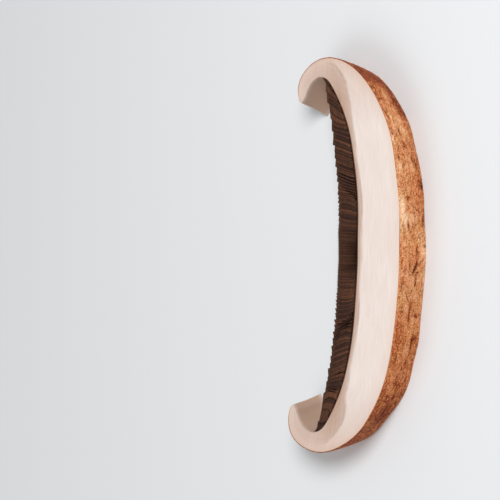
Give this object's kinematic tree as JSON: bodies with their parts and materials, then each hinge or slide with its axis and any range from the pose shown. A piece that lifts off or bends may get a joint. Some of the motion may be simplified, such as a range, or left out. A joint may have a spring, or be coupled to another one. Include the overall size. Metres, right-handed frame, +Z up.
{
  "type": "portobello mushroom slice",
  "caption": "Thick slice cut across a large brown mushroom cap: a long white arch with brown skin outside, rolled margins and a fan of dark gills inside.",
  "frame": {"origin": "middle of the bounding box, on the lower cut face that the slice lies on", "axes": "+X along the slice from margin to margin, -Y towards the crown of the cap and +Y towards the gills, +Z up through the thickness of the slice"},
  "size_m": [0.14, 0.0574, 0.0132],
  "materials": {
    "skin": "satin brown, mottled",
    "flesh": "matt creamy white, moist",
    "gills": "matt dark brown"
  },
  "bodies": {
    "root": {"cap_skin": "skin", "cap_flesh": "flesh", "gills": "gills"}
  },
  "joints": []
}
